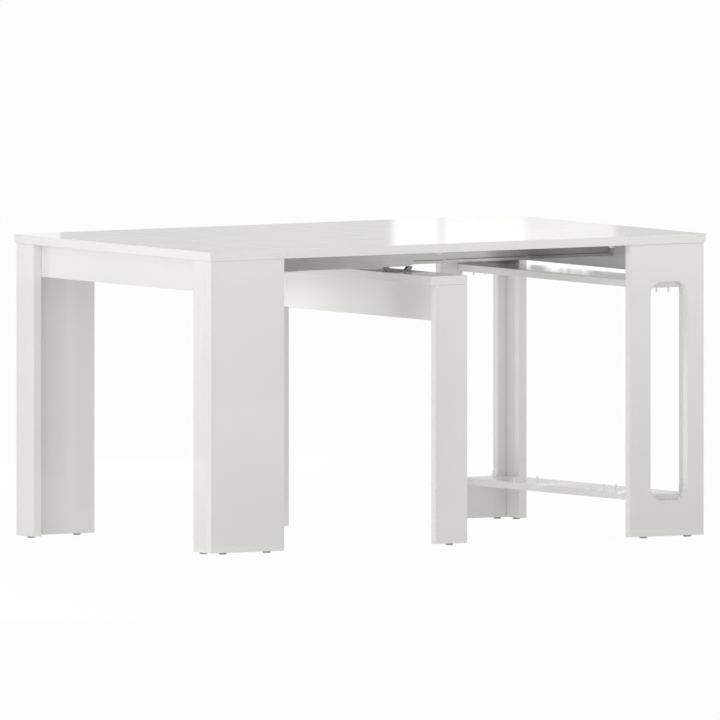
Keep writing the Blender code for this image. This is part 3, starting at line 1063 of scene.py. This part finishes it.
@dataclass
class Studio:
    """The white floor, the soft light, the cards that the gloss mirrors, and the camera."""

    floor_reach: float = 60.0
    floor_cells: int = 8
    floor_drop: float = 0.2 * MM
    floor_tone: Colour = (0.90, 0.90, 0.90)
    sky_tone: Colour = (1.0, 0.997, 0.99)

    # How much the floor and the sky glow where they light the table and where they are seen
    floor_lights: float = 0.30
    floor_seen: float = 0.965
    sky_lights: float = 0.56
    sky_seen: float = 1.0

    azimuth: float = -32.54
    elevation: float = 3.47
    view_width: float = 1.7758
    view_distance: float = 12.0
    view_reach: float = 120.0
    view_centre: Point = (0.0, 0.0, 0.436)

    # How far the far cards stand from the middle of the table
    FAR: ClassVar[float] = 2.6

    cards: tuple[ReflectionCard, ...] = (
        ReflectionCard("top_card", Side.BEHIND, FAR, (0.846, 1.30), (
            (-0.740, 0.68), (-0.395, 0.66), (-0.358, 0.68), (-0.074, 0.70), (-0.025, 0.67), (0.069, 0.70),
            (0.091, 1.12), (0.185, 1.12), (0.195, 0.95), (0.205, 0.95), (0.215, 1.12), (0.397, 1.12),
            (0.417, 0.95), (0.506, 0.94), (0.530, 0.96), (0.619, 0.93), (0.639, 0.66), (0.950, 0.62),
        )),
        ReflectionCard("stretcher_card", Side.BEHIND, FAR, (0.12, 0.45), (
            (0.10, 0.77), (0.40, 0.75), (0.60, 0.77), (0.95, 0.75),
        )),
        ReflectionCard("apron_card", Side.BACK_LEFT, FAR, (0.20, 0.60), (
            (-0.262, 0.0), (-0.194, 0.0), (-0.165, 0.66), (-0.135, 1.33), (-0.105, 1.8), (-0.06, 2.15),
            (-0.017, 2.85), (0.057, 4.1), (0.145, 4.2),
        ), Fade(0.440, 0.475, 0.55)),
        ReflectionCard("rail_card", Side.RIGHT, 1.2, (0.66, 0.73), (
            (-1.137, 1.7), (-1.107, 1.7), (-1.092, 0.88), (-1.048, 0.88), (-1.022, 1.5), (-0.997, 1.9),
            (-0.975, 1.9), (-0.960, 1.3), (-0.942, 1.7), (-0.923, 1.1), (-0.904, 1.55), (-0.867, 1.25),
            (-0.852, 1.65), (-0.834, 1.2), (-0.811, 0.88), (-0.793, 0.78), (-0.765, 0.92), (-0.672, 0.80),
            (-0.579, 0.80),
        ), Fade(0.690, 0.701, 0.45)),
        ReflectionCard("slide_card", Side.FRONT_RIGHT, 1.5, (0.02, 1.20), (
            (-1.20, 0.90), (-0.40, 0.86), (-0.25, 0.83), (-0.05, 0.75), (0.08, 0.77), (0.12, 0.87),
            (0.20, 0.86), (0.235, 0.64), (0.27, 0.49), (0.31, 0.42), (0.55, 0.41), (0.75, 0.58),
            (1.20, 0.75),
        )),
        ReflectionCard.plain("end_edge_card", Side.BACK_LEFT, FAR, (0.575, 0.70), (-0.88, -0.33), 1.6),
        ReflectionCard("apron_end_card", Side.BACK_LEFT, FAR, (0.52, 0.575), (
            (-0.60, 1.0), (-0.45, 1.6), (-0.33, 1.6),
        )),
        ReflectionCard.plain(
            "left_foot_card", Side.BACK_LEFT, 0.305, (0.0, 0.22), (-0.84, -0.80), 0.45, Fade(0.06, 0.22, 2.1)
        ),
        ReflectionCard.plain(
            "left_leg_card", Side.BACK_LEFT, FAR, (0.0, 0.42), (-0.88, -0.785), 0.35, Fade(0.30, 0.42, 2.8)
        ),
        ReflectionCard.plain("back_leg_card", Side.BACK_LEFT, FAR, (0.0, 0.50), (0.775, 0.83), 2.0),
        ReflectionCard.plain("mid_leg_card", Side.BACK_LEFT, -0.15, (0.0, 0.626), (-0.266, -0.2535), 1.8),
        ReflectionCard.plain("right_edge_card", Side.BACK_LEFT, -0.519, (0.0, 0.70), (0.186, 0.199), 1.3),
        ReflectionCard.plain(
            "cutout_card", Side.BACK_LEFT, 0.57, (0.05, 0.53), (0.315, 0.35), 2.4, Fade(0.25, 0.50, 0.3)
        ),
        ReflectionCard.plain(
            "left_panel_flag", Side.FRONT_RIGHT, 0.40, (0.0, 0.34), (0.64, 0.87), 0.12, Fade(0.06, 0.34, 6.0)
        ),
        ReflectionCard.plain(
            "right_panel_flag", Side.FRONT_RIGHT, 1.05, (0.0, 0.56), (-0.39, -0.16), 0.15,
            Fade(0.06, 0.56, 4.5),
        ),
    )
    flags: tuple[ShadeFlag, ...] = (
        ShadeFlag("apron_flag", (-0.20, -0.365, 0.60), (0.085, 0.085)),
    )
    lamps: tuple[Lamp, ...] = (
        Lamp("left_softbox", (-2.4, -0.6, 1.7), (-0.6, 0.0, 0.4), (2.2, 1.6), 8.0),
        Lamp("low_left_fill", (-3.0, -1.7, 0.5), (0.3, 0.2, 0.35), (1.6, 0.7), 10.0),
        Lamp("left_end_fill", (-2.6, -0.2, 0.30), (0.6, 0.3, 0.40), (0.7, 0.4), 2.2),
        Lamp("front_strip", (0.1, -1.5, 1.65), (0.1, -0.45, 0.55), (2.6, 0.5), 1.6),
        Lamp("front_right_strip", (0.75, -1.2, 1.35), (0.62, -0.45, 0.66), (0.7, 0.3), 1.35),
        Lamp("overhead_softbox", (0.0, 0.1, 2.8), (0.0, 0.0, 0.7), (1.6, 1.0), 12.0),
        Lamp("back_fill", (0.4, 3.0, 0.42), (0.2, -0.2, 0.50), (2.4, 0.6), 12.0),
        Lamp("front_edge_strip", (0.0, -0.57, 0.745), (0.0, -0.45, 0.745), (1.5, 0.03), 0.065),
        Lamp("right_column_strip", (0.80, -0.62, 0.40), (0.70, -0.45, 0.40), (0.03, 0.5), 0.027),
        Lamp("front_peg_fill", (0.60, -0.33, 0.125), (0.60, -0.18, 0.118), (0.12, 0.02), 0.035),
        Lamp("back_peg_fill", (0.60, 0.03, 0.125), (0.60, 0.18, 0.118), (0.12, 0.02), 0.025),
        Lamp("back_right_fill", (0.57, 0.22, 0.46), (0.64, 0.42, 0.46), (0.12, 0.32), 0.022),
    )

    @staticmethod
    def by_sight(sheet: NodeSheet, lit: float, seen: float) -> Socket:
        """Give one value to the rays that light the table and another to those that see the studio.

        Args:
            sheet: the nodes of the floor or the world.
            lit: the value for the rays that light the table.
            seen: the value for camera, glossy and transmission rays.

        Returns:
            The socket that gives the value.
        """
        path = sheet.add("ShaderNodeLightPath")
        sees = path.outputs["Is Camera Ray"]
        for name in ("Is Glossy Ray", "Is Transmission Ray"):
            larger = sheet.add("ShaderNodeMath")
            larger.operation = "MAXIMUM"
            sheet.wire(sees, larger.inputs[0])
            sheet.wire(path.outputs[name], larger.inputs[1])
            sees = larger.outputs["Value"]
        return sheet.remap(sees, (0.0, 1.0), (lit, seen))

    def lay_floor(self) -> None:
        """Lay the white floor, which keeps a faint shadow."""
        mesh = bmesh.new()
        cells = self.floor_cells
        bmesh.ops.create_grid(mesh, x_segments=cells, y_segments=cells, size=self.floor_reach)
        floor = Mould.new_object("studio_floor", mesh)
        floor.location.z = -self.floor_drop
        sheet = StageSheet("studio_floor_white")
        matt = sheet.add("ShaderNodeBsdfDiffuse", Color=(*self.floor_tone, 1.0))
        glow = sheet.add("ShaderNodeEmission")
        mix = sheet.add("ShaderNodeMixShader")
        sheet.wire(self.by_sight(sheet, self.floor_lights, self.floor_seen), mix.inputs["Fac"])
        sheet.wire(matt.outputs["BSDF"], mix.inputs[1])
        sheet.wire(glow.outputs["Emission"], mix.inputs[2])
        sheet.wire(mix.outputs["Shader"], sheet.surface)
        floor.data.materials.append(sheet.material)

    def light_world(self) -> None:
        """Fill the world with soft light that is seen as white."""
        world = bpy.data.worlds.new("studio_world")
        bpy.context.scene.world = world
        world.use_nodes = True
        sheet = NodeSheet(world.node_tree)
        sky = sheet.tree.nodes["Background"]
        sheet.fix(sky, Color=(*self.sky_tone, 1.0))
        sheet.wire(self.by_sight(sheet, self.sky_lights, self.sky_seen), sky.inputs["Strength"])

    def aim_camera(self) -> None:
        """Set the parallel camera of the photograph's view."""
        data = bpy.data.cameras.new("studio_camera")
        data.type = "ORTHO"
        data.ortho_scale = self.view_width
        data.clip_end = self.view_reach
        camera = bpy.data.objects.new("studio_camera", data)
        turn, rise = math.radians(self.azimuth), math.radians(self.elevation)
        back = Vector((math.sin(turn) * math.cos(rise), -math.cos(turn) * math.cos(rise), math.sin(rise)))
        camera.location = Vector(self.view_centre) + back * self.view_distance
        camera.rotation_euler = back.to_track_quat("Z", "Y").to_euler()
        bpy.context.scene.collection.objects.link(camera)
        bpy.context.scene.camera = camera

    def set_up(self) -> None:
        """Set up the whole studio."""
        bpy.context.scene.view_settings.view_transform = "Standard"
        self.lay_floor()
        self.light_world()
        for card in self.cards:
            card.stand()
        for flag in self.flags:
            flag.stand()
        for lamp in self.lamps:
            lamp.hang()
        self.aim_camera()


def main() -> None:
    """Build and dress the table, then set up the studio."""
    logging.basicConfig(level=logging.INFO, format="%(message)s")
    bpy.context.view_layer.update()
    finishes = FinishBook()
    assemblies = (
        TableTop(finishes),
        EndFrame(finishes, End.LEFT),
        EndFrame(finishes, End.RIGHT),
        LeafRack(finishes),
        MiddleFrame(finishes),
        TelescopicSlides(finishes),
    )
    for assembly in assemblies:
        assembly.build()
        assembly.dress()
    Studio().set_up()


if __name__ == "__main__":
    main()
